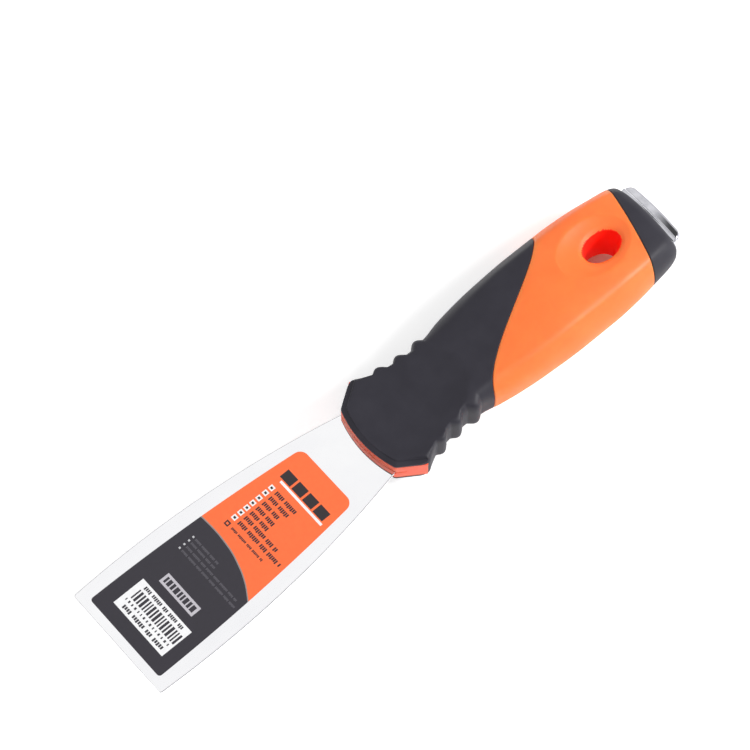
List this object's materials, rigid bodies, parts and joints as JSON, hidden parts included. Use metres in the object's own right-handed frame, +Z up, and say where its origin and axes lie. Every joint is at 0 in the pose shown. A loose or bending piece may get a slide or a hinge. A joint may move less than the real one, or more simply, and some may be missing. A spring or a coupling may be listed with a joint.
{
  "type": "flexible putty knife",
  "caption": "Flexible putty knife with a flared, polished steel blade, a two-colour moulded handle with thumb pads and finger ribs, a hanging hole and a steel hammer cap.",
  "frame": {"origin": "centre of the bounding box at its bottom, on the plane the knife's handle would rest on with the blade level", "axes": "+X along the knife from the blade's front edge to the butt cap, +Y across the blade, +Z up out of the face with the label"},
  "size_m": [0.2048, 0.0392, 0.0224],
  "materials": {
    "polished_steel": "mirror polished",
    "printed_label": "printed film, orange, dark grey and white",
    "orange_plastic": "satin",
    "black_rubber": "matt soft-touch",
    "cap_steel": "polished"
  },
  "bodies": {
    "root": {"blade": "polished_steel", "blade_label": "printed_label", "handle_core": "orange_plastic", "front_grip": "black_rubber", "rear_grip": "black_rubber", "butt_cap": "cap_steel"}
  },
  "joints": []
}
